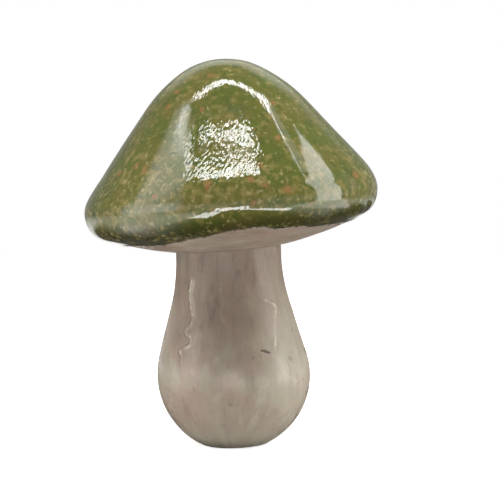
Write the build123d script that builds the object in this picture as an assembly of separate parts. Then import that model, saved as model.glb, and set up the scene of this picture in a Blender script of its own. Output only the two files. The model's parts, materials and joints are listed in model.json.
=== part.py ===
from build123d import *
import os
from math import atan2, cos, degrees, radians, sin, sqrt, tan

# Slip-cast ceramic mushroom: a hollow glazed cap luted at a tilt on a hollow bulb-shaped stem.
# Millimetres and degrees, +Z up. The origin is the centre of the foot, on the surface that it stands on.
# The stem leans towards -X about the centre of its bulb, and the cap tilts further the same way.

# Cap, over the glaze
cap_radius = 61.2            # widest circle of the rim
crown_radius = 31.0          # round top
crown_angle = 31.0           # slope where the round top runs into the shoulder
shoulder_radius = 68.5       # flatter curve between the top and the flank
flank_angle = 51.5           # slope of the straight flank
rim_radius = 11.8            # rolled rim, seen in section
underside_radius = 143.0     # shallow dome under the cap
glaze_line_radius = 46.0     # circle on the underside where the green coat ends
cap_tilt = 5.9               # lean of the cap's axis from the vertical
cap_offset = 3.65            # cap's axis from the neck's centre, in the seat

# Stem, over the glaze
bulb_radius = 31.9           # round lower part
neck_angle = 15.9            # slope of the sides above the bulb, from the stem's axis
flare_radius = 79.0          # hollow curve that runs the sides into the neck
neck_radius = 21.8           # narrowest circle, at the seat
neck_length = 0.4            # straight neck between the flare and the seat
stem_lean = 2.1              # lean of the stem's axis from the vertical

# Foot
foot_radius = 11.5           # outside of the bare ring that it stands on
foot_ring_width = 3.5        # flat width of that ring
foot_recess = 1.5            # depth of the hollow inside the ring
foot_edge = 0.6              # rounding of the ring's edges
bare_height = 2.0            # bare clay between the ground and the stem's glaze
vent_radius = 3.0            # kiln vent through the floor

# Clay and glaze
cap_wall = 4.5               # cast wall of the cap
stem_wall = 4.5              # cast wall of the stem, its floor and its upper end
glaze_thickness = 0.5        # both glazes

# Joint between stem and cap
spigot_radius = 13.0         # collar on the stem's upper end
spigot_wall = 3.5            # wall of that collar
spigot_reach = 2.5           # collar's end above the inside of the cap's floor
slip_gap = 0.5               # slip between collar and socket, and at the seat's thinnest place

# Cap profile: centres of its arcs, in the cap's own frame. Its z 0 is the level of the rim's arc.
crown_slope = radians(90 - crown_angle)
flank_slope = radians(90 - flank_angle)
rim_x = cap_radius - rim_radius
shoulder_x = (crown_radius - shoulder_radius) * cos(crown_slope)
flank_end_x = rim_x + rim_radius * cos(flank_slope)
flank_start_x = shoulder_x + shoulder_radius * cos(flank_slope)
flank_start_z = rim_radius * sin(flank_slope) + (flank_end_x - flank_start_x) * tan(radians(flank_angle))
shoulder_z = flank_start_z - shoulder_radius * sin(flank_slope)
crown_z = shoulder_z + (shoulder_radius - crown_radius) * sin(crown_slope)
underside_z = sqrt((underside_radius - rim_radius) ** 2 - rim_x ** 2)
underside_start = degrees(atan2(-underside_z, rim_x))

# Stem profile: the flare's centre, in the stem's own frame. Its z 0 is the centre of the bulb.
neck_slope = radians(neck_angle)
flare_x = neck_radius + flare_radius
flare_end_x = flare_x - flare_radius * cos(neck_slope)
flare_end_z = bulb_radius * sin(neck_slope) + (bulb_radius * cos(neck_slope) - flare_end_x) / tan(neck_slope)
flare_z = flare_end_z + flare_radius * sin(neck_slope)

# Seat: the stem's end is trimmed parallel to the cap's rim, just below the lowest clay of the underside.
socket_radius = spigot_radius + slip_gap
seat_nearest = max(spigot_radius - cap_offset, 0)
underside_depth = sqrt((underside_radius - glaze_thickness) ** 2 - seat_nearest ** 2) - underside_z
seat_depth = underside_depth + slip_gap
spigot_height = slip_gap + cap_wall + spigot_reach

# Places of the three frames
bulb_height = sqrt((bulb_radius - glaze_thickness) ** 2 - foot_radius ** 2)
stem_place = Location((0, 0, bulb_height), (0, -stem_lean, 0))
seat_centre = stem_place * Location((0, 0, flare_z + neck_length))
seat_place = Location(seat_centre.position, (0, -cap_tilt, 0))
cap_place = seat_place * Location((cap_offset, 0, seat_depth))

# Room for the cutting solids: longer than the whole part
reach = crown_z + crown_radius + seat_depth + bulb_height + flare_z + neck_length


def cap_form(inset):
    # Outside of the cap, moved inwards by inset all over
    with BuildPart() as form:
        with BuildSketch(Plane.XZ):
            with BuildLine():
                crown = CenterArc((0, crown_z), crown_radius - inset, 90, -crown_angle)
                shoulder = CenterArc((shoulder_x, shoulder_z), shoulder_radius - inset,
                                     90 - crown_angle, crown_angle - flank_angle)
                rim = CenterArc((rim_x, 0), rim_radius - inset,
                                90 - flank_angle, underside_start - 90 + flank_angle)
                Line(shoulder @ 1, rim @ 0)
                underside = CenterArc((0, underside_z), underside_radius - inset,
                                      underside_start, -90 - underside_start)
                Line(underside @ 1, crown @ 0)
            make_face()
        revolve(axis=Axis.Z)
    return cap_place * form.part


def stem_form(inset):
    # Outside of the stem, moved inwards by inset all over, with its neck run on up into the cap
    neck_top = flare_z + neck_length + seat_depth
    with BuildPart() as form:
        with BuildSketch(Plane.XZ):
            with BuildLine():
                bulb = CenterArc((0, 0), bulb_radius - inset, -90, 90 + neck_angle)
                flare = CenterArc((flare_x, flare_z), flare_radius + inset, 180 + neck_angle, -neck_angle)
                Line(bulb @ 1, flare @ 0)
                neck = Line(flare @ 1, (neck_radius - inset, neck_top))
                top = Line(neck @ 1, (0, neck_top))
                Line(top @ 1, bulb @ 0)
            make_face()
        revolve(axis=Axis.Z)
    return stem_place * form.part


def seat_pin(radius, bottom, top):
    # Round bar about the seat's axis, between two levels from the seat
    return seat_place * Pos(0, 0, bottom) * Cylinder(
        radius, top - bottom, align=(Align.CENTER, Align.CENTER, Align.MIN))


def upright(radius, bottom, top):
    # Round bar about the foot's axis, between two levels from the ground
    return Pos(0, 0, bottom) * Cylinder(
        radius, top - bottom, align=(Align.CENTER, Align.CENTER, Align.MIN))


cap_outside = cap_form(0)
cap_clay = cap_form(glaze_thickness)
cap_hollow = cap_form(glaze_thickness + cap_wall)
stem_outside = stem_form(0)
stem_clay = stem_form(glaze_thickness)
stem_hollow = stem_form(glaze_thickness + stem_wall)
seat_plane = Plane(seat_place)
ground = Plane.XY

# Cap body: a closed hollow casting with the socket cut through its underside
cap_casting = cap_clay - cap_hollow
cap_shell = cap_casting - seat_pin(socket_radius, -seat_depth, seat_depth)

# Glaze coats of the cap, parted by a cylinder about the cap's axis below the rim
cap_skin = cap_outside - cap_clay
underside_zone = cap_place * Cylinder(
    glaze_line_radius, reach, align=(Align.CENTER, Align.CENTER, Align.MAX))
cap_glaze = cap_skin - underside_zone
underside_glaze = (cap_skin & underside_zone) - stem_clay

# Stem body: foot ring below, trimmed end and spigot above, open from the vent to the cap
spigot_bore = spigot_radius - spigot_wall
stem_floor = foot_recess + stem_wall
stem_room = split(stem_hollow, bisect_by=seat_plane.offset(-stem_wall), keep=Keep.BOTTOM)
stem_room = split(stem_room, bisect_by=ground.offset(stem_floor), keep=Keep.TOP)
stem_body = split(stem_clay, bisect_by=seat_plane, keep=Keep.BOTTOM)
stem_body = split(stem_body, bisect_by=ground, keep=Keep.TOP)
stem_body = stem_body - upright(foot_radius - foot_ring_width, 0, foot_recess)
stem_body = fillet(stem_body.edges().group_by(Axis.Z)[0], foot_edge)
stem_body = stem_body + seat_pin(spigot_radius, 0, spigot_height)
stem_shell = stem_body - stem_room - seat_pin(spigot_bore, -2 * stem_wall, spigot_height)
stem_shell = stem_shell - upright(vent_radius, 0, bulb_height)

# Glaze coat of the stem, from just above the foot to the underside of the cap
stem_glaze = split(stem_outside - stem_clay, bisect_by=ground.offset(bare_height), keep=Keep.TOP)
stem_glaze = stem_glaze - cap_outside

# Joining slip: a wedge between the trimmed end and the underside, and a sleeve round the spigot
slip_wedge = split(stem_clay, bisect_by=seat_plane, keep=Keep.TOP) - cap_clay
slip_sleeve = cap_casting & seat_pin(socket_radius, -seat_depth, seat_depth)
luting_ring = slip_wedge + slip_sleeve - seat_pin(spigot_radius, -seat_depth, 2 * seat_depth)

nodes = {
    "cap_shell": cap_shell,
    "cap_glaze": cap_glaze,
    "underside_glaze": underside_glaze,
    "luting_ring": luting_ring,
    "stem_shell": stem_shell,
    "stem_glaze": stem_glaze,
}

os.makedirs("parts", exist_ok=True)
for name, shape in nodes.items():
    export_step(shape, f"parts/{name}.step")
    size = shape.bounding_box()
    print(f"{name}: solids {len(shape.solids())}, volume {shape.volume / 1000:.2f} cm3, "
          f"z {size.min.Z:.2f} to {size.max.Z:.2f} mm")
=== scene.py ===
import bpy
import json
from math import acos, atan2, cos, degrees, exp, hypot, pi, radians, sin, sqrt, tan
from mathutils import Matrix, Vector, noise

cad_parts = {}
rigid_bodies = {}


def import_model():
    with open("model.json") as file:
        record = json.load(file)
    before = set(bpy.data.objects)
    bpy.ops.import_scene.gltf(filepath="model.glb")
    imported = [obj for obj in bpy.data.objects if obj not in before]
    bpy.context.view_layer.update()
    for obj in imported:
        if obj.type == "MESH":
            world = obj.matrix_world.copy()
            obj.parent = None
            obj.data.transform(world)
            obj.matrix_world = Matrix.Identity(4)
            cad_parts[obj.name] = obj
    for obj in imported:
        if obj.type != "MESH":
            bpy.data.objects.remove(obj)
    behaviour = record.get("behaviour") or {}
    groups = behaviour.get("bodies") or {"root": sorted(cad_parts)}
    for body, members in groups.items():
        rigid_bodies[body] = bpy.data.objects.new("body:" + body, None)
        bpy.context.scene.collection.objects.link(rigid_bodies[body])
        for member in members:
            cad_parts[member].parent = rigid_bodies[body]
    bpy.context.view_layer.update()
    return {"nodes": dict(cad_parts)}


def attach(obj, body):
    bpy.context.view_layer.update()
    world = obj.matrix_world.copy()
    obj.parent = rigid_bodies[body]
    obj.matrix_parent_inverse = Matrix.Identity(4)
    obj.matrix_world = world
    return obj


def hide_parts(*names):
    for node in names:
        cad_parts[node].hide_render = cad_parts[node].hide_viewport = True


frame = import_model()
mm = 0.001  # pieces are worked out in millimetres and degrees, the stage in metres
print("frame loaded:", ", ".join(sorted(frame["nodes"])))


def linear(hexColour):  # sRGB hex to the linear RGBA that sockets take
    channels = [int(hexColour[i:i + 2], 16) / 255 for i in (1, 3, 5)]
    return [c / 12.92 if c <= 0.04045 else ((c + 0.055) / 1.055) ** 2.4 for c in channels] + [1.0]


def perMm(size):  # texture scale for a feature of that many millimetres, on coordinates in metres
    return 1.0 / (size * mm)


def addNode(tree, kind, sockets=None, **settings):  # sockets take values, outputs or nodes (first output)
    node = tree.nodes.new("ShaderNode" + kind)
    for key, value in settings.items():
        setattr(node, key, value)
    for key, value in (sockets or {}).items():
        if isinstance(value, bpy.types.Node):
            value = value.outputs[0]
        if isinstance(value, bpy.types.NodeSocket):
            tree.links.new(value, node.inputs[key])
        else:
            node.inputs[key].default_value = value
    return node


def newMaterial(name):
    material = bpy.data.materials.new(name)
    material.use_nodes = True
    material.node_tree.nodes.clear()
    return material, material.node_tree


def smoothStep(low, high, value):  # eased from 0 at low to 1 at high, either way round
    t = min(max((value - low) / (high - low), 0.0), 1.0)
    return t * t * (3 - 2 * t)


def band(value, start, full, last, end):  # eased up from start to full, and down from last to end
    return smoothStep(start, full, value) * smoothStep(end, last, value)


def hill(value, centre, width):  # 1 at the centre, fading out on both sides
    return exp(-((value - centre) / width) ** 2)


def wave(x, y, z, size):  # smooth noise from -1 to 1 with bumps about that many millimetres apart
    return noise.noise(Vector((x / size, y / size, z / size)))


def turnBetween(angle, other):  # degrees from one direction to another, the short way round
    return abs((angle - other + 180) % 360 - 180)


def relief(form, x, y, z):  # waves, from a form that says how many mm high and apart they are
    height, size = form
    return height * wave(x, y, z, size)


def across(form, gap):  # rounded bank, from a form that says how high, in what place and how wide it is
    height, place, width = form
    return height * hill(gap, place, width)


def ringAngles(columns):  # directions round an axis: 0 is the front, 90 the right
    return [-180 + 360 * j / columns for j in range(columns)]


def onCircle(radius, angle):  # x and y in such a direction
    return radius * sin(radians(angle)), -radius * cos(radians(angle))


def leaning(angle):  # turn towards -X
    return Matrix.Rotation(radians(-angle), 4, "Y")


# Both castings over their glaze, in the same form as the solids: arcs and lines turned about an axis
casting = {
    "capRadius": 61.2,  # widest circle of the rim
    "crownRadius": 31.0,  # round top
    "crownAngle": 31.0,  # slope where the round top runs into the shoulder
    "shoulderRadius": 68.5,  # flatter curve between the top and the flank
    "flankAngle": 51.5,  # slope of the straight flank
    "rimRadius": 11.8,  # rolled rim, seen in section
    "undersideRadius": 143.0,  # shallow dome under the cap
    "capTilt": 5.9,  # lean of the cap's axis from the vertical
    "capOffset": 3.65,  # cap's axis from the neck's centre, in the seat
    "bulbRadius": 31.9,  # round lower part of the stem
    "coatEnd": -65.4,  # angle on the bulb where the stem's glaze stops, near the ground
    "neckAngle": 15.9,  # slope of the sides above the bulb, from the stem's axis
    "flareRadius": 79.0,  # hollow curve that runs the sides into the neck
    "neckRadius": 21.8,  # narrowest circle, at the seat
    "neckLength": 0.4,  # straight neck between the flare and the seat
    "neckRun": 4.6,  # straight neck of the glaze, which ends hidden in the cap
    "stemLean": 2.1,  # lean of the stem's axis from the vertical
    "footRadius": 11.5,  # outside of the ring that it stands on
    "coat": 0.5,  # glaze on the clay
    "spigotRadius": 13.0,  # collar hidden in the joint
    "slipGap": 0.5,  # slip at the seat's thinnest place
}


def capProfile(size):  # from the crown's middle round the rim to the underside's middle
    crown, shoulder, rim, dome = [size[key + "Radius"] for key in ("crown", "shoulder", "rim", "underside")]
    crownTurn = 90 - size["crownAngle"]
    flankTurn = 90 - size["flankAngle"]
    rimX = size["capRadius"] - rim
    shoulderX = (crown - shoulder) * cos(radians(crownTurn))
    flankEndX = rimX + rim * cos(radians(flankTurn))
    flankEndZ = rim * sin(radians(flankTurn))
    flankStartX = shoulderX + shoulder * cos(radians(flankTurn))
    flankStartZ = flankEndZ + (flankEndX - flankStartX) * tan(radians(size["flankAngle"]))
    shoulderZ = flankStartZ - shoulder * sin(radians(flankTurn))
    crownZ = shoulderZ + (shoulder - crown) * sin(radians(crownTurn))
    undersideZ = sqrt((dome - rim) ** 2 - rimX ** 2)
    undersideTurn = degrees(atan2(-undersideZ, rimX))
    return [
        ("arc", 0, crownZ, crown, 90, crownTurn),
        ("arc", shoulderX, shoulderZ, shoulder, crownTurn, flankTurn),
        ("line", flankStartX, flankStartZ, flankEndX, flankEndZ),
        ("arc", rimX, 0, rim, flankTurn, undersideTurn),
        ("arc", 0, undersideZ, dome, undersideTurn, -90),
    ]


def stemProfile(size):  # from the neck's end in the cap down to the end of the coat near the ground
    bulb, flare, neck = [size[key + "Radius"] for key in ("bulb", "flare", "neck")]
    slope = radians(size["neckAngle"])
    sideX = bulb * cos(slope)
    sideZ = bulb * sin(slope)
    flareEndX = neck + flare - flare * cos(slope)
    flareEndZ = sideZ + (sideX - flareEndX) / tan(slope)
    flareZ = flareEndZ + flare * sin(slope)
    return [
        ("line", neck, flareZ + size["neckRun"], neck, flareZ),
        ("arc", neck + flare, flareZ, flare, 180, 180 + size["neckAngle"]),
        ("line", flareEndX, flareEndZ, sideX, sideZ),
        ("arc", 0, 0, bulb, size["neckAngle"], size["coatEnd"]),
    ]


def stretchLength(kind, x, z, *rest):  # length of one arc or line of an outline
    if kind == "arc":
        radius, start, end = rest
        return radius * radians(abs(end - start))
    return hypot(rest[0] - x, rest[1] - z)


def tracePoint(outline, distance):  # radius, height and outward normal at a distance along the outline
    for stretch in outline:
        length = stretchLength(*stretch)
        if distance <= length or stretch is outline[-1]:
            break
        distance -= length
    share = distance / length
    kind, x, z, *rest = stretch
    if kind == "arc":
        radius, start, end = rest
        angle = radians(start + (end - start) * share)
        turn = 1 if start > end else -1  # a hollow arc runs the other way round
        return x + radius * cos(angle), z + radius * sin(angle), turn * cos(angle), turn * sin(angle)
    runX = rest[0] - x
    runZ = rest[1] - z
    return x + runX * share, z + runZ * share, -runZ / length, runX / length


capOutline = capProfile(casting)
stemOutline = stemProfile(casting)
capStretches = [stretchLength(*stretch) for stretch in capOutline]
flankStart = sum(capStretches[:2])  # distances along the cap's outline
flankEnd = sum(capStretches[:3])
rimEnd = sum(capStretches[:4])
undersideZ, undersideRadius, undersideTurn = capOutline[4][2:5]
flareZ = stemOutline[1][2]

# Places: the cap sits on the neck's end, which is cut parallel to its rim just below its lowest clay
bulbHeight = sqrt((casting["bulbRadius"] - casting["coat"]) ** 2 - casting["footRadius"] ** 2)
seatNearest = max(casting["spigotRadius"] - casting["capOffset"], 0)
clayDepth = sqrt((undersideRadius - casting["coat"]) ** 2 - seatNearest ** 2) - undersideZ
seatDepth = clayDepth + casting["slipGap"]
stemPlace = Matrix.Translation((0, 0, bulbHeight * mm)) @ leaning(casting["stemLean"])
seatCentre = stemPlace @ Vector((0, 0, (flareZ + casting["neckLength"]) * mm))
seatPlace = Matrix.Translation(seatCentre) @ leaning(casting["capTilt"])
capPlace = seatPlace @ Matrix.Translation((casting["capOffset"] * mm, 0, seatDepth * mm))


def turnedSkin(name, place, points, columns, marks, closeTop=False):  # rings of points, from the top down
    corners = [place @ (Vector(point) * mm) for point in points]
    faces = []
    for ring in range(0, len(points) - columns, columns):
        for j in range(columns):
            k = (j + 1) % columns
            faces.append((ring + j, ring + columns + j, ring + columns + k, ring + k))
    if closeTop:
        top = len(corners)
        middle = sum((Vector(point) for point in points[:columns]), Vector()) / columns
        corners.append(place @ (middle * mm))
        faces += [(top, j, (j + 1) % columns) for j in range(columns)]
    mesh = bpy.data.meshes.new(name)
    mesh.from_pydata(corners, [], faces)
    mesh.shade_smooth()
    for mark, values in marks.items():  # marks tell a material where something lies on the surface
        if closeTop:
            values = values + values[:1]
        if isinstance(values[0], tuple):
            layer = mesh.attributes.new(mark, "FLOAT_VECTOR", "POINT")
            layer.data.foreach_set("vector", [part for value in values for part in value])
        else:
            layer = mesh.attributes.new(mark, "FLOAT", "POINT")
            layer.data.foreach_set("value", values)
    piece = bpy.data.objects.new(name, mesh)
    bpy.context.scene.collection.objects.link(piece)
    return piece


# Cap: green coat, from the crown round the rolled rim to its uneven edge on the underside
cap = {
    "columns": 640,
    "rowStep": 0.8,  # mm between rings
    "edgeStretch": 9.0,  # mm before the rim's end from where the rings follow the edge
    "edgeRows": 26,  # rings over that stretch
    "turnRows": 4,  # rings where the edge turns under
    "turnReach": 0.45,  # mm
    "coat": 0.80,  # mm from the bead down to the clay
    "undulation": (0.10, 17),  # mm high and apart, slow waves left by the mould and the hand
    "runs": (0.035, 4.5),  # mm high and apart, glaze runs down the flank
    "runLength": 6,  # times as long
    "runCircle": 45,  # mm, circle on which the runs are laid out
    "bead": (0.30, 1.3, 1.4),  # mm high, mm from the edge and mm wide, thicker glaze along it
    "flankSwell": 0.34,  # mm, the flank isn't quite straight
    "swellFade": (5, 3),  # mm over which that runs out into the shoulder and the rim
    "rimShift": (0.80, 0.10),  # mm by which the rim leaves the circle: out on the left, in on the right
    "rimEase": 7.0,  # mm on both sides of the rim's start over which the flank rolls into it
    "flankShift": 0.50,  # mm, the left flank sits further in
    "crownShift": 0.80,  # mm, the crown is fuller on the right
    # edge: angle, and mm past the rim's end where the coat stops
    "edge": [(-180, 4.5), (-150, 6), (-120, 5), (-90, 7.5), (-64, 8.6), (-47, 8.1), (-37, 7.6), (-31, 5.4),
             (-25, 4.9), (-18, 1.4), (-13, 1.6), (-7, -0.9), (-2, -2.7), (3, -2.4), (7, -3.4), (12, -2.8),
             (18, 0), (23, 0.1), (29, 0.3), (38, 3.6), (44, 3.8), (51, 4.6), (58, 5.4), (66, 6), (90, 6),
             (120, 5), (150, 3.5)],
    "edgeCircle": 52,  # mm, circle on which the chips are laid out
    "chips": (0.85, 2.6),  # mm deep and mm apart, coarse ones along the edge
    "fineChips": (0.765, 1.2),
    # rust blooms: angle, mm above the rim's middle and mm size
    "rust": [(-46, 18.1, 1.7), (-39, 16.3, 1.5), (-56, 16, 1.3), (-10, 51.5, 1.5), (-40, 46.4, 1.3),
             (-42, 40.5, 1.3), (-13, 37.9, 1.2), (4, 31.3, 1), (-8, 9, 2.1), (-29, 6.4, 1.3),
             (27, 23.6, 1.3), (14, 13.7, 1.4), (9, 9, 1.6), (14, 6.2, 1.6), (22, 3.8, 2.6), (8, 0, 1.5),
             (59, 6.2, 2.2), (36, 37.6, 1.2), (17, 28, 1), (31, -3.4, 1.2), (96, 21, 1.8), (128, 12, 1.5),
             (150, 33, 1.4), (-95, 27, 1.6), (-122, 9, 2.2), (-150, 22, 1.5), (176, 15, 1.9),
             (112, 40, 1.2), (-170, 42, 1.3)],
    "rustRagged": 1.7,  # mm between the lobes of a bloom
    "poolReach": 2.6,  # mm over which the dark edge clears
    "rimShade": 0.75,  # share of painted shade under the rim
    "leftShade": 0.16,  # and of painted shade on the far left
    "specks": 0.40,  # share of specks all over
    "leftSpecks": 0.50,  # more of them low on the left
    "lowSpecks": 0.28,  # and above the rim
    "speckDrift": (0.32, 21),  # share and mm apart, denser and thinner clouds of them
    "stillGlaze": 0.05,  # share of ripples where the glaze lay still
}


def around(table, angle):  # value at an angle, from pairs that go once round, eased between them
    turns = table + [(table[0][0] + 360, table[0][1])]
    for (first, low), (last, high) in zip(turns, turns[1:]):
        if first <= angle <= last:
            return low + (high - low) * smoothStep(first, last, angle)
    return table[0][1]


def capEdge(angle):  # distance along the outline where the green coat stops
    x, y = onCircle(cap["edgeCircle"], angle)
    chips = relief(cap["chips"], x, y, 3) + relief(cap["fineChips"], x, y, 9)
    return rimEnd + around(cap["edge"], angle) + chips


def flankForm(distance):  # mm by which the flank bulges, run out into shoulder and rim
    lean = 4 * cap["flankSwell"] / (flankEnd - flankStart)
    before = flankStart - distance
    past = distance - flankEnd
    if before > 0:
        return -lean * before * exp(-before / cap["swellFade"][0])
    if past > 0:
        return -lean * past * exp(-past / cap["swellFade"][1])
    share = -before / (flankEnd - flankStart)
    return cap["flankSwell"] * 4 * share * (1 - share)


def rimRoll(distance):  # mm by which the rim's start is eased in, so that its curve grows slowly
    past = (distance - flankEnd) / cap["rimEase"]
    most = cap["rimEase"] ** 2 / (6 * casting["rimRadius"])
    if past < 0:
        drop = 0.5 * most * max(1 + past, 0) ** 3
    else:
        drop = most - 0.5 * most * max(1 - past, 0) ** 3
    return -drop * smoothStep(20, 9, distance - flankEnd)


def capPoint(distance, angle, lift):  # point of the cap's outside, lifted along its normal
    r, z, nr, nz = tracePoint(capOutline, distance)
    lift += flankForm(distance) + rimRoll(distance)
    r += nr * lift
    z += nz * lift
    rim = smoothStep(16, 3, z) if distance < rimEnd else smoothStep(44, 54, r)
    if angle > 0:  # finished by hand, so both sides leave the circle
        shift = cap["crownShift"] * smoothStep(22, 44, z) - cap["rimShift"][1] * rim
    else:
        shift = cap["rimShift"][0] * rim - cap["flankShift"] * band(z, 0, 10, 36, 52)
    a = radians(angle)
    return ((r + shift * smoothStep(0, 12, r)) * sin(a), -r * cos(a), z)


def capRelief(x, y, z, r, angle, toEdge):  # mm by which the fired glaze stands out
    runs = relief(cap["runs"], *onCircle(cap["runCircle"], angle), z / cap["runLength"])
    return relief(cap["undulation"], x, y, z) + runs * smoothStep(6, 30, r) + across(cap["bead"], toEdge)


def poolAndShadeShare(z, angle, toEdge):  # dark where the glaze ran thick at the edge, partly painted shade there, and painted shade under the rim and on the far left
    left = cap["leftShade"] * hill(angle, -76, 22) * smoothStep(44, 20, z)
    return max(exp(-max(toEdge, 0) / cap["poolReach"]), cap["rimShade"] * smoothStep(-2, -9, z), left)


def speckShare(x, y, z, angle):  # specks gather low on the left and above the rim, and thin out below it
    left = cap["leftSpecks"] * hill(angle, -44, 36) * smoothStep(30, 6, z)
    share = cap["specks"] + max(left, cap["lowSpecks"] * smoothStep(18, 5, z))
    share += relief(cap["speckDrift"], x, y, z)
    return min(1.0, share) * (0.55 + 0.45 * smoothStep(-7, 0, z))


def rustShare(x, y, z, r, angle):  # ragged blooms round the rust places
    bloom = 0.0
    for spotAngle, spotLevel, size in cap["rust"]:
        away = turnBetween(angle, spotAngle)
        if away < 8 + 4 * size and abs(z - spotLevel) < 4 * size:
            gap = hypot(radians(away) * max(r, 4), (z - spotLevel) * 1.25)
            gap += size * wave(x, y, z, cap["rustRagged"])
            bloom = max(bloom, hill(max(gap, 0), 0, 1.25 * size))
    return bloom


def rippleShare(z, angle):  # the glaze boiled on the front of the flank, on the crown and along the rim
    front = band(angle, -21, -17, 16, 20) * band(z, 2, 8, 30, 36)
    left = 0.6 * hill(angle, -24, 8) * band(z, 5, 10, 28, 36)
    rim = 0.9 * hill(z, -1.5, 2.5) * band(angle, -18, -12, 22, 30)
    return max(cap["stillGlaze"], front, left, rim, 0.6 * smoothStep(32, 42, z))


def buildCapGlaze():
    edgeStart = rimEnd - cap["edgeStretch"]
    rows = int(edgeStart / cap["rowStep"])
    lastRow = rows + cap["edgeRows"]
    angles = ringAngles(cap["columns"])
    edges = [capEdge(angle) for angle in angles]
    points = []
    marks = {"flow": [], "poolAndShade": [], "speckle": [], "rust": [], "pitting": []}
    for i in range(1, lastRow + cap["turnRows"] + 1):
        for angle, edge in zip(angles, edges):
            drop = 0.0
            if i <= rows:
                distance = edgeStart * i / rows
            elif i <= lastRow:
                distance = edgeStart + (edge - edgeStart) * (i - rows) / cap["edgeRows"]
            else:  # the edge turns under, down to the clay
                turn = radians(90 * (i - lastRow) / cap["turnRows"])
                distance = edge + cap["turnReach"] * sin(turn)
                drop = cap["coat"] * (1 - cos(turn))
            r, z = tracePoint(capOutline, distance)[:2]
            x, y = onCircle(r, angle)
            toEdge = edge - distance
            points.append(capPoint(distance, angle, capRelief(x, y, z, r, angle, toEdge) - drop))
            marks["flow"].append((*onCircle(cap["runCircle"] * mm, angle), distance * mm))
            marks["poolAndShade"].append(poolAndShadeShare(z, angle, toEdge))
            marks["speckle"].append(speckShare(x, y, z, angle))
            marks["rust"].append(rustShare(x, y, z, r, angle))
            marks["pitting"].append(rippleShare(z, angle))
    return turnedSkin("cap_green_glaze", capPlace, points, cap["columns"], marks, closeTop=True)


capGlaze = buildCapGlaze()
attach(capGlaze, "root")
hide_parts("cap_glaze")
print("cap glaze:", len(capGlaze.data.vertices), "points")

# Cap body under the coats: same form, a little further in, open where the neck enters
capBody = {"columns": 256, "rows": 90, "inset": 0.95, "opening": 19.27}


def buildCapBody():
    total = rimEnd + undersideRadius * (acos(capBody["opening"] / undersideRadius) + radians(undersideTurn))
    points = [capPoint(total * i / capBody["rows"], angle, -capBody["inset"])
              for i in range(1, capBody["rows"] + 1) for angle in ringAngles(capBody["columns"])]
    return turnedSkin("cap_clay_body", capPlace, points, capBody["columns"], {}, closeTop=True)


capClay = buildCapBody()
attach(capClay, "root")
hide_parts("cap_shell")
print("cap body:", len(capClay.data.vertices), "points")

# Underside: pale coat from under the green edge in to the neck
underside = {
    "columns": 512,
    "rows": 72,
    "outer": -4.5,  # mm past the rim's end where it starts, under the green coat
    "inner": 43.0,  # mm past the rim's end where it stops, inside the neck
    "inset": 0.06,  # mm below the green coat's own level
    "tuck": 0.35,  # mm further in where the green coat covers it
    "brush": (0.05, 1.6),  # mm high and apart, brush marks round the axis
    "brushLength": 6,  # times as long
    "swell": (0.06, 9),  # mm high and apart, uneven slip
    "crumbs": (1.1, 1.5),  # mm high and apart, crumbs of slip left along the green edge
    "grimeReach": 1.6,  # mm over which the dark crumbs thin out from that edge
}


def buildUnderside():
    angles = ringAngles(underside["columns"])
    edges = [capEdge(angle) for angle in angles]
    long = underside["brushLength"]
    crumbHeight, crumbSize = underside["crumbs"]
    points = []
    marks = {"flow": [], "grime": []}
    for i in range(underside["rows"] + 1):
        inward = underside["outer"] + (underside["inner"] - underside["outer"]) * i / underside["rows"]
        distance = rimEnd + inward
        r = tracePoint(capOutline, distance)[0]
        for angle, edge in zip(angles, edges):
            x, y = onCircle(r, angle)
            past = distance - edge
            crumb = max(0.0, wave(x, y, 5, crumbSize) - 0.12) * hill(past, 0.5, 0.8)
            lift = relief(underside["brush"], x / long, y / long, r) + relief(underside["swell"], x, y, 11)
            lift += crumbHeight * crumb - underside["inset"]
            lift -= underside["tuck"] * smoothStep(0.2, -1.2, past)
            points.append(capPoint(distance, angle, lift))
            a = radians(angle)
            marks["flow"].append((r * mm, 10 * mm * cos(a), 45 * mm * sin(a)))  # strokes run round the axis
            marks["grime"].append(exp(-max(past, 0) / underside["grimeReach"]))
    return turnedSkin("cap_underside_glaze", capPlace, points, underside["columns"], marks)


undersideGlaze = buildUnderside()
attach(undersideGlaze, "root")
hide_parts("underside_glaze")
print("underside glaze:", len(undersideGlaze.data.vertices), "points")

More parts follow.
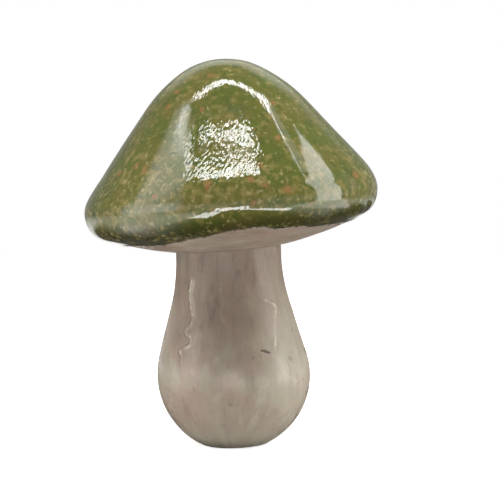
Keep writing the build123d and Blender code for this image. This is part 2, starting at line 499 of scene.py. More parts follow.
# Stem: pale coat with a lifted crack on the left, a ridge and a split on the right, pits and streaks
stem = {
    "columns": 600,
    "rowStep": 0.9,  # mm between rings
    "fineStep": 0.45,  # mm between them where the cracks are
    "fineRange": (5, 43),  # mm above the bulb's middle
    "undulation": (0.16, 19),  # mm high and apart, slow waves
    "dimples": (0.05, 6),  # mm high and apart
    "streaks": (0.045, 2.4),  # mm high and apart, brushed slip, mostly up and down
    "streakLength": 7,  # times as long
    "runCircle": 30,  # mm, circle on which the streaks are laid out
    "bulbTop": 8.8,  # mm above its middle where the bulb ends
    "bulbShift": 0.33,  # mm towards +X, the bulb isn't quite under the neck
    # paths on the surface: angle and mm above the bulb's middle
    "crack": [(-44, 40.8), (-45.5, 39.5), (-45.8, 37.2), (-45.5, 34.7), (-43, 32.4), (-42, 30.2),
              (-39.2, 27.9), (-37.8, 26.1), (-38.5, 24.2), (-42.2, 22.5), (-44.5, 20.5), (-40.8, 19.1),
              (-36.2, 18), (-36.2, 16.3), (-39.8, 15.1), (-44.2, 14.1), (-46.5, 13.2), (-43.2, 10.4),
              (-42.5, 7)],
    "ridge": [(35.8, 32.3), (39.8, 31.7), (44, 31.1), (47.4, 30), (47.6, 28.3), (44.5, 25.3), (41.5, 22.3),
              (39.5, 18.3), (36.5, 12.9)],
    "split": [(24, 12.7), (26, 12.5), (28, 12.1), (31, 11.7)],
    # forms across them: mm high, mm beside the path and mm wide
    "crackLip": (0.20, 0.7, 0.6),
    "crackDip": (-0.25, -0.15, 0.3),
    "crackShade": (0.9, -0.15, 0.32),  # share of painted shade in the groove, instead of mm high
    "crackStep": (0.08, 2.2),  # mm high and mm wide, thicker coat behind the lip
    "ridgeForm": (0.22, 0, 0.45),
    "splitForm": (-0.32, 0, 0.55),
    "pitDepth": 0.22,
    # pits: angle, mm above the bulb's middle and mm size
    "pits": [(12, 44.3, 0.8), (45, 31.7, 0.6), (50, 8.2, 1), (16.5, 10.3, 0.7), (-30, -1.8, 0.7),
             (-2.5, -8.1, 0.7), (64, 19, 0.7), (110, 14, 0.9), (150, -4, 0.8), (-120, 22, 0.8),
             (-160, 6, 1), (175, 33, 0.7)],
    "paintedShade": 0.53,  # share of painted brown shade above the bulb
    "frontShade": 0.12,  # more painted shade down the front
    "neckShade": 0.05,  # and more painted shade on the rest of the neck
    "rightShade": -0.20,  # less painted shade on the right
    "litSides": 0.8,  # share of painted light on both sides, which are paler and less shaded
    "rightPaleAndLight": 0.85,  # share of pale glaze and painted light on the right
    "bellyLight": 0.12,  # share of painted light on the front of the bulb
    "footLight": 0.9,  # and of painted light round the foot
}


def nearestOnPath(path, angle, level, radius):  # mm to a path on the stem, and which side of it
    best = 99.0
    side = 1.0
    for (firstAngle, firstLevel), (lastAngle, lastLevel) in zip(path, path[1:]):
        x = radians(firstAngle - angle) * radius
        y = firstLevel - level
        runX = radians(lastAngle - firstAngle) * radius
        runY = lastLevel - firstLevel
        share = min(max(-(x * runX + y * runY) / (runX * runX + runY * runY), 0.0), 1.0)
        gap = hypot(x + runX * share, y + runY * share)
        if gap < best:
            best = gap
            side = 1.0 if x * runY - y * runX > 0 else -1.0
    return best, side


def stemRelief(x, y, z, r, angle):  # mm by which the coat stands out, and shares of painted shade in the cracks and pits and of painted highlight on their edges
    lift = relief(stem["undulation"], x, y, z) + relief(stem["dimples"], x, y, z)
    lift += relief(stem["streaks"], *onCircle(stem["runCircle"], angle), z / stem["streakLength"])
    wobble = 0.45 * wave(x, y, z, 1.9) + 0.25 * wave(x, y, z, 0.8)
    broken = 0.25 + 0.75 * smoothStep(-0.25, 0.35, wave(x, y, z, 1.7))
    shadeInHollows = 0.0
    edgeHighlight = 0.0
    if -62 < angle < -22 and 2 < z < 46:
        gap, side = nearestOnPath(stem["crack"], angle, z, r)
        gap = gap * side + wobble
        fade = smoothStep(6, 12, z) * broken
        lip = across(stem["crackLip"], gap)
        lift += fade * (lip + across(stem["crackDip"], gap))
        if gap > 0:
            stepHeight, stepWidth = stem["crackStep"]
            lift += fade * stepHeight * exp(-gap / stepWidth)
        # painted shade in the groove beside the lip
        shadeInHollows = fade * across(stem["crackShade"], gap)
        # painted highlight on the lip and on the thicker coat behind it
        behind = 0.35 * band(z, 24, 30, 40, 43) * band(gap, 0, 0.6, 2.2, 3.0)
        edgeHighlight = max(0.9 * fade * lip / stem["crackLip"][0], behind)
    if 15 < angle < 60 and 8 < z < 36:
        gap = nearestOnPath(stem["ridge"], angle, z, r)[0] + 0.6 * wobble
        ridge = broken * across(stem["ridgeForm"], gap)
        # painted highlight along the ridge
        edgeHighlight = 0.9 * ridge / stem["ridgeForm"][0]
        gap = nearestOnPath(stem["split"], angle, z, r)[0] + 0.3 * wobble + 0.012 * (angle - 27) ** 2
        lift += ridge + across(stem["splitForm"], gap)
        # painted shade down the split
        shadeInHollows = smoothStep(0.75, 0.35, gap)
    for pitAngle, pitLevel, size in stem["pits"]:
        away = turnBetween(angle, pitAngle)
        if away < 6 and abs(z - pitLevel) < 4:
            pit = hill(hypot(radians(away) * r, z - pitLevel), 0, size)
            lift -= stem["pitDepth"] * pit
            # painted shade in the pits
            shadeInHollows = max(shadeInHollows, 0.45 * pit)
    return lift, shadeInHollows, edgeHighlight


def stemShadeAndLight(x, y, z, angle):  # shares of painted brown shade, and of pale glaze with painted light
    front = hill(angle, 0, 30)
    # painted light on both sides, which also thins the painted shade there
    litSides = hill(angle, -80, 24) + 0.5 * hill(angle, 82, 12)
    litSides *= stem["litSides"] * band(z, -16, 4, 22, 42)
    # painted brown shade above the bulb, more down the front and on the neck, less on the right
    paintedShade = stem["paintedShade"] + stem["frontShade"] * front + stem["neckShade"] * (1 - front) * smoothStep(32, 42, z)
    paintedShade += stem["rightShade"] * hill(angle, 62, 28)
    uneven = z + 7 * wave(x, y, z, 11) + 4 * wave(x, y, z, 4.5)
    paintedShade *= (1 - litSides) * smoothStep(-2 - 12 * front, 28, uneven)
    # pale glaze and painted light on the right, painted light on the bulb's front and round the foot
    right = stem["rightPaleAndLight"] * hill(angle, 55, 32) * smoothStep(50, 22, z)
    belly = stem["bellyLight"] * hill(angle, -4, 30) * hill(z, -7, 10)
    paleLitPatches = max(right, belly, litSides) * (0.8 + 0.5 * wave(x, y, z, 7))
    return paintedShade, max(stem["footLight"] * smoothStep(-16, -25, z), paleLitPatches)


def buildStemGlaze():
    distances = []
    low, high = stem["fineRange"]
    distance = sum(stretchLength(*stretch) for stretch in stemOutline)
    while distance > 0:  # from the foot up
        distances.append(distance)
        fine = low < tracePoint(stemOutline, distance)[1] < high
        distance -= stem["fineStep"] if fine else stem["rowStep"]
    points = []
    marks = {"flow": [], "split": [], "ridge": [], "paintedShade": [], "paleAndLit": []}
    for distance in reversed(distances):
        r, z, nr, nz = tracePoint(stemOutline, distance)
        rise = -nz if z < stem["bulbTop"] else nz  # mirrored on the bulb: flatter waves lower down
        shift = stem["bulbShift"] * band(z, -28, -18, -2, 16)
        for angle in ringAngles(stem["columns"]):
            x, y = onCircle(r, angle)
            lift, shadeInHollows, edgeHighlight = stemRelief(x, y, z, r, angle)
            # shares of painted shade, and of pale glaze with painted light
            paintedShade, paleAndLit = stemShadeAndLight(x, y, z, angle)
            x, y = onCircle(r + nr * lift, angle)
            points.append((x + shift, y, z + rise * lift))
            marks["flow"].append((*onCircle(stem["runCircle"] * mm, angle), z * mm))
            # painted shade in the cracks and pits, painted highlight on their edges
            marks["split"].append(shadeInHollows)
            marks["ridge"].append(edgeHighlight)
            marks["paintedShade"].append(paintedShade)
            marks["paleAndLit"].append(paleAndLit)
    return turnedSkin("stem_beige_glaze", stemPlace, points, stem["columns"], marks)


stemGlaze = buildStemGlaze()
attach(stemGlaze, "root")
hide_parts("stem_glaze")
print("stem glaze:", len(stemGlaze.data.vertices), "points")


# Green reactive glaze on stoneware, dipped and fired: a deep gloss over mottled green, with iron specks
# that bled to cream and tan, a few rust blooms, and ripples where it boiled. Real specks are 0.5 to 1 mm
# wide; the noise that makes them is drawn coarser, so that its peaks are of that size.
greenGlaze = {
    # pooled is the dark of thick glaze at the edge and of painted shade under the rim
    "green": "#5D642A", "olive": "#6B6731", "deep": "#4A5628", "pooledAndShaded": "#2A2714",
    "cream": "#B3A472", "tan": "#93834E", "rust": "#9C6A42",
    "mottleMm": 11.0, "cloudMm": 4.0, "tanMm": 3.2, "speckMm": 2.3, "fineSpeckMm": 1.4, "rustGrainMm": 1.4,
    "rippleMm": 1.25, "rippleForm": (0.75, 0.8, 1.7), "rippleLean": -0.35, "rippleDepthMm": 0.065,
    "runMm": 1.6, "runForm": (1.0, 1.0, 0.14), "runDepthMm": 0.05, "roughness": 0.045, "ior": 1.5,
}


def greenGlazeMaterial():
    look = greenGlaze
    material, tree = newMaterial("green reactive glaze on stoneware")
    place = addNode(tree, "TexCoord").outputs["Object"]
    flow = addNode(tree, "Attribute", attribute_name="flow").outputs["Vector"]
    poolAndShade, speckle, rust, pitting = [addNode(tree, "Attribute", attribute_name=mark).outputs["Fac"]
                                    for mark in ("poolAndShade", "speckle", "rust", "pitting")]

    # coats of colour: olive and deep green clouds on the green, dark where the glaze pooled at the edge, and
    # painted shade under the rim and on the far left
    mottle = addNode(tree, "TexNoise", {
        "Vector": place, "Scale": perMm(look["mottleMm"]), "Detail": 4.0, "Roughness": 0.6})
    cloud = addNode(tree, "TexNoise", {
        "Vector": place, "Scale": perMm(look["cloudMm"]), "Detail": 5.0, "Roughness": 0.65})
    olive = addNode(tree, "MapRange", {"Value": mottle, "From Min": 0.44, "From Max": 0.60})
    deep = addNode(tree, "MapRange", {"Value": cloud, "From Min": 0.50, "From Max": 0.68, "To Max": 0.85})
    coats = [(olive, "olive"), (deep, "deep"), (poolAndShade, "pooledAndShaded")]

    # tan clouds and cream specks: where noise passes a level that falls as the speckle mark grows
    for size, level, reach, soft, tone, most in (
            ("tanMm", 0.66, 0.23, 0.16, "tan", 0.55), ("speckMm", 0.71, 0.16, 0.16, "cream", 0.55),
            ("fineSpeckMm", 0.72, 0.15, 0.14, "cream", 0.42)):
        spots = addNode(tree, "TexNoise", {
            "Vector": place, "Scale": perMm(look[size]), "Detail": 1.0, "Roughness": 0.4, "Distortion": 0.2})
        start = addNode(tree, "Math", {0: speckle, 1: -reach, 2: level}, operation="MULTIPLY_ADD")
        over = addNode(tree, "Math", {0: spots, 1: start}, operation="SUBTRACT")
        mask = addNode(tree, "MapRange", {"Value": over, "From Min": 0.0, "From Max": soft, "To Max": most})
        coats.append((mask, tone))

    # rust blooms, broken up by their grain
    grain = addNode(tree, "TexNoise", {"Vector": place, "Scale": perMm(look["rustGrainMm"]), "Detail": 3.0})
    bloom = addNode(tree, "Math", {0: rust, 1: grain}, operation="MULTIPLY")
    bloom = addNode(tree, "MapRange", {"Value": bloom, "From Min": 0.20, "From Max": 0.55, "To Max": 0.80})
    coats.append((bloom, "rust"))
    colour = linear(look["green"])
    for share, tone in coats:
        colour = addNode(tree, "MixRGB", {"Fac": share, "Color1": colour, "Color2": linear(look[tone])})

    # surface: ripples where the glaze boiled, leaning along the flank, and long soft runs down it
    tilted = addNode(tree, "Mapping", {
        "Vector": flow, "Rotation": (0, look["rippleLean"], 0), "Scale": look["rippleForm"]},
        vector_type="TEXTURE")
    ripples = addNode(tree, "TexNoise", {"Vector": tilted, "Scale": perMm(look["rippleMm"]), "Detail": 0.0})
    ripples = addNode(tree, "Math", {0: ripples, 1: pitting}, operation="MULTIPLY")
    drawn = addNode(tree, "Mapping", {"Vector": flow, "Scale": look["runForm"]})
    runs = addNode(tree, "TexNoise", {"Vector": drawn, "Scale": perMm(look["runMm"]), "Detail": 2.0})
    bump = addNode(tree, "Bump", {"Height": runs, "Strength": 0.5, "Distance": look["runDepthMm"] * mm})
    bump = addNode(tree, "Bump", {
        "Height": ripples, "Strength": 1.0, "Distance": look["rippleDepthMm"] * mm, "Normal": bump})
    rough = addNode(tree, "MapRange", {
        "Value": cloud, "From Min": 0.3, "From Max": 0.7,
        "To Min": look["roughness"] * 0.7, "To Max": look["roughness"] * 1.5})
    shader = addNode(tree, "BsdfPrincipled", {
        "Base Color": colour, "Roughness": rough, "IOR": look["ior"], "Normal": bump})
    addNode(tree, "OutputMaterial", {"Surface": shader})
    return material


# Pale glaze brushed over slip: greige with warmer and greener clouds, upright streaks, smudges and painted
# brown shade, painted shade in the cracks and pits with painted highlight on their edges, and pale patches
# partly painted light. It is satin on the stem and duller on the underside, where it meets the green coat in
# dark crumbs. Its grain, under 0.3 mm, is drawn coarser so that it shows.
beigeGlaze = {
    "beige": "#AFA292", "warm": "#B19B8D", "sage": "#ADA791", "paleAndLit": "#C6BFAD", "shade": "#8F7F6F",
    # edge is painted highlight on the cracks' edges, crack is painted shade in cracks and pits
    "smudge": "#8A786A", "paintedShade": "#8E7B69", "edge": "#D0C4B0", "crack": "#5B4C40", "crumb": "#3F3826",
    "cloudMm": 16.0, "blushMm": 9.0, "streakMm": 3.4, "smudgeMm": 6.0, "grainMm": 0.9, "crumbMm": 1.6,
    "streakForm": (1.0, 1.0, 0.12), "smudgeForm": (1.0, 1.0, 0.5), "streakDepthMm": 0.06, "ior": 1.5,
    "stemRoughness": 0.27, "stemSpecular": 0.35,
    # the underside takes an even share of painted shade all over
    "undersideRoughness": 0.55, "undersideSpecular": 0.25, "undersideShade": 0.40,
}


def beigeGlazeMaterial(name, roughness, specular, paintedShade=None):
    look = beigeGlaze
    material, tree = newMaterial(name)
    place = addNode(tree, "TexCoord").outputs["Object"]
    flow = addNode(tree, "Attribute", attribute_name="flow").outputs["Vector"]
    # split carries painted shade in cracks and pits, ridge painted highlight on their edges
    split, ridge, grime, paleAndLit = [  # a mark that a piece lacks reads as 0
        addNode(tree, "Attribute", attribute_name=mark).outputs["Fac"]
        for mark in ("split", "ridge", "grime", "paleAndLit")]
    if paintedShade is None:  # it isn't even, so the mesh carries it
        paintedShade = addNode(tree, "Attribute", attribute_name="paintedShade").outputs["Fac"]
    drawn = addNode(tree, "Mapping", {"Vector": flow, "Scale": look["streakForm"]})
    smeared = addNode(tree, "Mapping", {"Vector": flow, "Scale": look["smudgeForm"]})
    cloud, blush, streaks, smudge, grain, crumb = [
        addNode(tree, "TexNoise", {
            "Vector": vector, "Scale": perMm(look[size]), "Detail": detail, "Roughness": fine})
        for size, vector, detail, fine in (
            ("cloudMm", place, 3.0, 0.55), ("blushMm", place, 4.0, 0.6), ("streakMm", drawn, 4.0, 0.6),
            ("smudgeMm", smeared, 6.0, 0.68), ("grainMm", place, 3.0, 0.5), ("crumbMm", place, 2.0, 0.5))]

    # coats of colour: clouds, streaks and smudges between two levels of their noise, up to a share
    coats = []
    for source, low, high, tone, most in (
            (cloud, 0.40, 0.65, "warm", 0.9), (blush, 0.50, 0.70, "sage", 0.8),
            (streaks, 0.50, 0.75, "shade", 0.30), (smudge, 0.53, 0.66, "smudge", 0.60),
            (smudge, 0.46, 0.36, "paleAndLit", 0.55)):
        share = addNode(tree, "MapRange", {
            "Value": source, "From Min": low, "From Max": high, "To Max": most})
        coats.append((share, tone))

    # then pale patches with painted light, thinned by the streaks, then the painted shade, the painted
    # highlight on the edges, the painted shade in cracks and pits, and the crumbs
    thin = addNode(tree, "MapRange", {"Value": streaks, "From Min": 0.62, "From Max": 0.38, "To Min": 0.65})
    paleAndLit = addNode(tree, "Math", {0: paleAndLit, 1: thin}, operation="MULTIPLY")
    grime = addNode(tree, "Math", {0: grime, 1: crumb}, operation="MULTIPLY")
    grime = addNode(tree, "MapRange", {"Value": grime, "From Min": 0.30, "From Max": 0.40, "To Max": 0.85})
    coats += [(paleAndLit, "paleAndLit"), (paintedShade, "paintedShade"), (ridge, "edge"), (split, "crack"), (grime, "crumb")]
    colour = linear(look["beige"])
    for share, tone in coats:  # the painted shade darkens what it covers
        colour = addNode(tree, "MixRGB", {"Fac": share, "Color1": colour, "Color2": linear(look[tone])},
                         blend_type="MULTIPLY" if tone == "paintedShade" else "MIX")

    # surface: brush streaks with a fine grain, duller where the painted shade lies
    height = addNode(tree, "Math", {0: grain, 1: 0.25, 2: streaks}, operation="MULTIPLY_ADD")
    bump = addNode(tree, "Bump", {"Height": height, "Strength": 0.7, "Distance": look["streakDepthMm"] * mm})
    rough = addNode(tree, "MapRange", {
        "Value": blush, "From Min": 0.3, "From Max": 0.7,
        "To Min": roughness * 0.8, "To Max": roughness * 1.4})
    rough = addNode(tree, "Math", {0: paintedShade, 1: 0.3, 2: rough}, operation="MULTIPLY_ADD")
    shader = addNode(tree, "BsdfPrincipled", {
        "Base Color": colour, "Roughness": rough, "IOR": look["ior"], "Specular IOR Level": specular,
        "Normal": bump})
    addNode(tree, "OutputMaterial", {"Surface": shader})
    return material


# Bare fired stoneware at the foot and inside: dry, warm and grainy, with fine iron specks. Its grain is
# about 0.3 mm and drawn coarser, so that it shows.
bareClay = {
    "clay": "#DCCFBA", "dark": "#BBAA92", "speck": "#6E5A45",
    "cloudMm": 6.0, "grainMm": 0.7, "speckMm": 2.4, "grainDepthMm": 0.08, "roughness": 0.85,
}


def bareClayMaterial():
    look = bareClay
    material, tree = newMaterial("bare fired stoneware")
    place = addNode(tree, "TexCoord").outputs["Object"]
    cloud = addNode(tree, "TexNoise", {"Vector": place, "Scale": perMm(look["cloudMm"]), "Detail": 4.0})
    grain = addNode(tree, "TexNoise", {"Vector": place, "Scale": perMm(look["grainMm"]), "Detail": 4.0})
    cells = addNode(tree, "TexVoronoi", {"Vector": place, "Scale": perMm(look["speckMm"])})
    speck = addNode(tree, "MapRange", {
        "Value": cells, "From Min": 0.10, "From Max": 0.16, "To Min": 0.8, "To Max": 0.0})
    colour = linear(look["clay"])
    for share, tone in ((cloud, "dark"), (speck, "speck")):
        colour = addNode(tree, "MixRGB", {"Fac": share, "Color1": colour, "Color2": linear(look[tone])})
    bump = addNode(tree, "Bump", {"Height": grain, "Strength": 0.8, "Distance": look["grainDepthMm"] * mm})
    rough = addNode(tree, "MapRange", {
        "Value": grain, "To Min": look["roughness"] * 0.9, "To Max": look["roughness"] * 1.1})
    shader = addNode(tree, "BsdfPrincipled", {"Base Color": colour, "Roughness": rough, "Normal": bump})
    addNode(tree, "OutputMaterial", {"Surface": shader})
    return material


capGlaze.data.materials.append(greenGlazeMaterial())
undersideGlaze.data.materials.append(beigeGlazeMaterial(
    "pale dull glaze on slip", beigeGlaze["undersideRoughness"], beigeGlaze["undersideSpecular"],
    beigeGlaze["undersideShade"]))
stemGlaze.data.materials.append(beigeGlazeMaterial(
    "pale satin glaze on slip", beigeGlaze["stemRoughness"], beigeGlaze["stemSpecular"]))
clay = bareClayMaterial()
capClay.data.materials.append(clay)
for name in ("stem_shell", "luting_ring"):
    node = frame["nodes"][name]
    node.data.materials.clear()
    node.data.materials.append(clay)
print("materials made")

# Stage, in metres: a pale paper floor in a room that is white at the horizon and greyer overhead. Windows
# left and right, strips and tubes overhead, lit cards on the floor, all mirrored in the gloss of the cap.
stage = {
    "paper": "#EDECEA", "fibre": "#F2F1EF",
    "fibreMm": 3.0,  # real fibres are finer than a pixel, so they are drawn coarser
    "floorRadius": 1.2,
    "floorCorners": 96,
    "floorGlow": 0.72,  # with the lamps' light it is white, and still takes a shadow
    "mirroredGlow": 0.30,  # instead of that in reflections
    "horizon": 0.30, "ceiling": 0.24,
    "backWall": 0.25,  # grey behind the object, which only its reflections show
    "shadowTone": "#4A494B",  # painted shadow on the floor, seen only in reflections
    # ovals of painted shadow: x, y, half width, half depth, and the shares of these where the shadow is
    # whole and where it ends
    "shadowOvals": [(0.03, -0.15, 0.12, 0.225, 0.75, 1.15), (0.03, 0.16, 0.32, 0.18, 0.75, 1.15),
              (0.23, 0.43, 0.16, 0.14, 0.75, 1.15),
              (0, 0, 1, 1, 1.5, 0.45)],  # the other way round, painted shade on the far floor
    # slanting sides of the windows: shares of the width low and high up, and the shares of the height there
    "doors": {"leftWindow": ((0.282, 0.045, 0.336, 0.56), (0.955, 0.5, 0.4, 0.976)),
              "rightWindow": ((0.075, 0.54, 0.70, 0.957), (0.505, 0.95, 0.478, 0.826))},
    # lamps in several tubes: how many, and the dark share on both sides of each
    "tubes": {"bankLeft": (9, 0.2), "bankRight": (8, 0.2), "highLeft": (7, 0.2), "highRight": (7, 0.2),
              "topLeft": (9, 0.1), "topRight": (11, 0.1)},
    # lamps that show in the gloss and light nothing else
    "mirrorOnly": ("leftWindow", "highLeft", "highRight", "lowMiddle", "lowLeft", "lowRight", "leftBounce",
                   "rightBounce"),
    # place, aimed at, direction of the width, width, height, radiance, soft shares of the sides
    "lamps": {
        "leftPanel": ((-0.485, -0.103, 0.551), (0.361, 0.283, 0.186), (-0.47, 0.87, -0.17),
                      0.44, 0.52, 1.6, (0.3, 0.12)),
        "leftLower": ((-0.6, -0.265, 0.15), (0, 0, 0.15), (-0.375, 0.927, 0), 0.75, 0.5, 2.2, (0.25, 0.12)),
        "leftGlow": ((-0.445, -0.02, 0.78), (0, 0, 0.12), (-0.37, 0.81, -0.46),
                     0.24, 0.13, 4.5, (0.45, 0.45)),
        "leftWindow": ((-0.62, -0.3, 0.575), (0, -0.3, 0.575), (0, -1, 0), 1.1, 1.25, 1.08, (0.08, 0.06)),
        "rightWindow": ((0.62, 0.02, 0.475), (0, 0.02, 0.475), (0, 1, 0), 0.68, 1.15, 4.9, (0.03, 0.05)),
        "leftEdge": ((-0.4, -0.15, 0.8), (0, 0, 0.13), (0, 1, 0), 0.15, 0.05, 11, (0.2, 0.2)),
        "rightFar": ((0.69, 0.233, 0.37), (0, 0, 0.12), (-0.4, 0.9, 0), 0.3, 0.55, 0.4, (0.3, 0.3)),
        "rightFill": ((0.4, 0.05, 0.82), (0, 0, 0.12), (0.45, 0.8, -0.4), 0.11, 0.3, 1.4, (0.1, 0.1)),
        "topLeft": ((-0.18, 0.08, 0.8), (-0.02, 0, 0.14), (0.26, 0.1, 0), 0.3, 0.065, 23, (0.06, 0.1)),
        "topRight": ((0.13, 0.099, 0.8), (-0.02, 0, 0.14), (0.36, -0.058, 0), 0.39, 0.06, 23, (0.06, 0.1)),
        "topEnd": ((-0.415, 0.03, 0.8), (-0.02, 0, 0.14), (1, 0.02, 0), 0.24, 0.03, 5, (0.2, 0.1)),
        "edgeUpper": ((0.343, 0.055, 0.8), (0, 0, 0.14), (0.015, -0.05, 0), 0.07, 0.014, 9, (0.1, 0.1)),
        "edgeLower": ((0.384, 0.006, 0.8), (0, 0, 0.14), (0.068, -0.048, 0), 0.1, 0.01, 6, (0.1, 0.1)),
        "edgeEnd": ((0.56, -0.14, 0.8), (0, 0, 0.14), (0.27, -0.22, 0), 0.36, 0.014, 6, (0.1, 0.1)),
        "bankLeft": ((-0.195, -0.263, 0.8), (0, 0, 0.13), (0.224, -0.044, 0), 0.27, 0.062, 29, (0.06, 0.1)),
        "bankRight": ((0.03, -0.254, 0.8), (0, 0, 0.13), (0.225, 0.045, 0), 0.25, 0.08, 27, (0.06, 0.1)),
        "highLeft": ((-0.18, -0.162, 0.8), (0, 0, 0.13), (0.28, -0.074, 0), 0.22, 0.03, 30, (0.06, 0.1)),
        "highRight": ((0.05, -0.161, 0.8), (0, 0, 0.13), (0.245, 0.037, 0), 0.24, 0.045, 30, (0.06, 0.1)),
        "backPanel": ((0, 0.62, 0.62), (0, 0, 0.13), (1, 0, 0), 1.1, 0.5, 0.9, (0.3, 0.3)),
        "lowMiddle": ((0.01, -0.36, 0.02), (0.01, 0, 0.05), (1, 0, 0), 0.15, 0.08, 14, (0.1, 0.1)),
        "lowLeft": ((-0.064, -0.262, 0.004), (-0.064, -0.262, 1), (0.02, -0.13, 0),
                    0.17, 0.07, 12, (0.1, 0.15)),
        "lowRight": ((0.128, -0.255, 0.004), (0.128, -0.255, 1), (0.092, 0.158, 0),
                     0.21, 0.06, 12, (0.1, 0.15)),
        "leftBounce": ((-0.38, -0.15, 0.004), (-0.38, -0.15, 1), (1, 0, 0), 0.58, 0.34, 1.5, (0.06, 0.12)),
        "rightBounce": ((0.45, -0.085, 0.004), (0.45, -0.085, 1), (1, 0, 0), 0.52, 0.33, 2.2, (0.1, 0.1)),
    },
}


def paperMaterial():
    material, tree = newMaterial("pale paper sweep")
    place = addNode(tree, "TexCoord").outputs["Object"]
    path = addNode(tree, "LightPath").outputs
    fibre = addNode(tree, "TexNoise", {"Vector": place, "Scale": perMm(stage["fibreMm"]), "Detail": 4.0})
    tone = addNode(tree, "MixRGB", {
        "Fac": fibre, "Color1": linear(stage["paper"]), "Color2": linear(stage["fibre"])})
    mirrored = path["Is Glossy Ray"]  # share of the floor that no painted shadow covers, in reflections
    for x, y, width, depth, whole, end in stage["shadowOvals"]:
        oval = addNode(tree, "Mapping", {
            "Vector": place, "Location": (-x / width, -y / depth, 0), "Scale": (1 / width, 1 / depth, 0)})
        away = addNode(tree, "VectorMath", {0: oval}, operation="LENGTH").outputs["Value"]
        clear = addNode(tree, "MapRange", {"Value": away, "From Min": whole, "From Max": end})
        mirrored = addNode(tree, "Math", {0: mirrored, 1: clear}, operation="MULTIPLY")
    # painted shadow on the floor, only in reflections
    shadowed = addNode(tree, "Math", {0: path["Is Glossy Ray"], 1: mirrored}, operation="SUBTRACT")
    tone = addNode(tree, "MixRGB", {"Fac": shadowed, "Color1": tone, "Color2": linear(stage["shadowTone"])})
    matt = addNode(tree, "BsdfDiffuse", {"Color": tone, "Roughness": 0.6})
    seen = addNode(tree, "Math", {0: path["Is Camera Ray"], 1: path["Is Transmission Ray"]},
                   operation="MAXIMUM")
    seen = addNode(tree, "Math", {0: seen, 1: stage["floorGlow"]}, operation="MULTIPLY")
    level = addNode(tree, "Math", {0: mirrored, 1: stage["mirroredGlow"], 2: seen}, operation="MULTIPLY_ADD")
    glow = addNode(tree, "Emission", {"Color": (1, 1, 1, 1), "Strength": level})
    both = addNode(tree, "AddShader", {0: matt, 1: glow})
    addNode(tree, "OutputMaterial", {"Surface": both})
    return material


def buildFloor():
    corners = stage["floorCorners"]
    ring = [(*onCircle(stage["floorRadius"], angle), 0) for angle in ringAngles(corners)]
    mesh = bpy.data.meshes.new("paper_floor")
    mesh.from_pydata(ring, [], [tuple(range(corners))])
    mesh.materials.append(paperMaterial())
    floor = bpy.data.objects.new("paper_floor", mesh)
    bpy.context.scene.collection.objects.link(floor)
    return floor


def buildRoom():  # white to the camera; dimmer as light on the object, and grey behind it in reflections
    world = bpy.data.worlds.new("white surround")
    world.use_nodes = True
    tree = world.node_tree
    tree.nodes.clear()
    way = addNode(tree, "TexCoord").outputs["Generated"]
    way = addNode(tree, "SeparateXYZ", {0: way}).outputs
    path = addNode(tree, "LightPath").outputs
    wall = addNode(tree, "MapRange", {
        "Value": way["Y"], "From Min": -0.1, "From Max": 0.5, "To Min": 1.0, "To Max": stage["backWall"]})
    mirrored = addNode(tree, "Math", {0: path["Is Glossy Ray"], 1: wall}, operation="MULTIPLY")
    low = addNode(tree, "Math", {0: path["Is Camera Ray"], 1: path["Is Transmission Ray"]},
                  operation="MAXIMUM")
    for least in (mirrored, stage["horizon"]):
        low = addNode(tree, "Math", {0: low, 1: least}, operation="MAXIMUM")
    level = addNode(tree, "MapRange", {
        "Value": way["Z"], "From Min": 0.12, "From Max": 0.32, "To Min": low, "To Max": stage["ceiling"]},
        interpolation_type="SMOOTHSTEP")
    surround = addNode(tree, "Background", {"Color": (1, 1, 1, 1), "Strength": level})
    addNode(tree, "OutputWorld", {"Surface": surround})
    return world


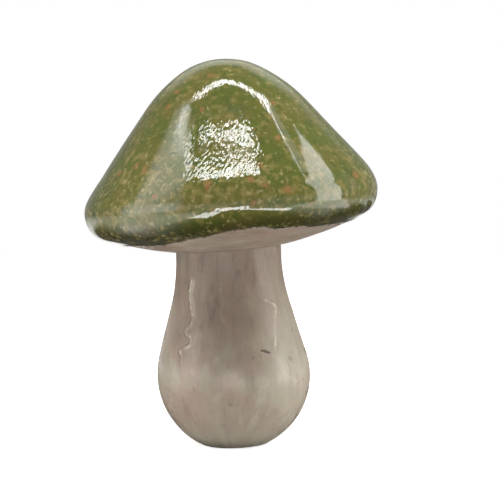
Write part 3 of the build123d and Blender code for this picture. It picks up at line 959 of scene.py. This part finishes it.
def softenLamp(lamp, soft, doors, tubes):  # dims towards the sides; doors slant two of them; tubes part it
    lamp.use_nodes = True
    tree = lamp.node_tree
    tree.nodes.clear()
    spot = addNode(tree, "NewGeometry").outputs["Parametric"]
    spot = addNode(tree, "SeparateXYZ", {0: spot}).outputs
    count, dark = tubes
    if doors:
        left, right = [addNode(tree, "MapRange", {
            "Value": spot["Y"], "From Min": start, "From Max": end, "To Min": low, "To Max": high})
            for low, high, start, end in doors]
        left = addNode(tree, "Math", {0: spot["X"], 1: left}, operation="SUBTRACT")
        right = addNode(tree, "Math", {0: right, 1: spot["X"]}, operation="SUBTRACT")
        inward = addNode(tree, "Math", {0: left, 1: right}, operation="MINIMUM")
    else:
        strips = addNode(tree, "Math", {0: spot["X"], 1: count}, operation="MULTIPLY")
        inward = addNode(tree, "Math", {0: strips, 1: 0.5}, operation="PINGPONG")
    upward = addNode(tree, "Math", {0: spot["Y"], 1: 0.5}, operation="PINGPONG")
    inward, upward = [addNode(tree, "MapRange", {"Value": gap, "From Min": start, "From Max": start + edge},
                              interpolation_type="SMOOTHSTEP")
                      for gap, start, edge in ((inward, dark, soft[0]), (upward, 0, soft[1]))]
    share = addNode(tree, "Math", {0: inward, 1: upward}, operation="MULTIPLY")
    cloth = addNode(tree, "Emission", {"Strength": share})
    addNode(tree, "OutputLight", {"Surface": cloth})


def addLamp(name, place, aim, along, width, height, radiance, soft):
    lamp = bpy.data.lights.new(name, "AREA")
    lamp.shape = "RECTANGLE"
    lamp.size = width
    lamp.size_y = height
    lamp.energy = radiance * pi * width * height
    softenLamp(lamp, soft, stage["doors"].get(name), stage["tubes"].get(name, (1, 0)))
    holder = bpy.data.objects.new(name, lamp)
    back = (Vector(place) - Vector(aim)).normalized()
    side = (Vector(along) - back * back.dot(Vector(along))).normalized()
    turn = Matrix((side, back.cross(side), back)).transposed().to_4x4()
    holder.matrix_world = Matrix.Translation(place) @ turn
    holder.visible_camera = False
    holder.visible_diffuse = name not in stage["mirrorOnly"]
    bpy.context.scene.collection.objects.link(holder)


buildFloor()
bpy.context.scene.world = buildRoom()
for name, numbers in stage["lamps"].items():
    addLamp(name, *numbers)
print("stage lit by", len(stage["lamps"]), "lamps")

# Camera: level with the cap, 0.7 m in front, looking slightly down
view = {"place": (7.04 * mm, -700 * mm, 126.09 * mm), "pitch": 3.674, "lens": 121.41, "sensor": 36.0}
camera = bpy.data.cameras.new("front view")
camera.lens = view["lens"]
camera.sensor_width = view["sensor"]
stand = bpy.data.objects.new("front view", camera)
stand.location = view["place"]
stand.rotation_euler = (radians(90 - view["pitch"]), 0, 0)
bpy.context.scene.collection.objects.link(stand)
bpy.context.scene.camera = stand
bpy.context.scene.view_settings.view_transform = "Standard"
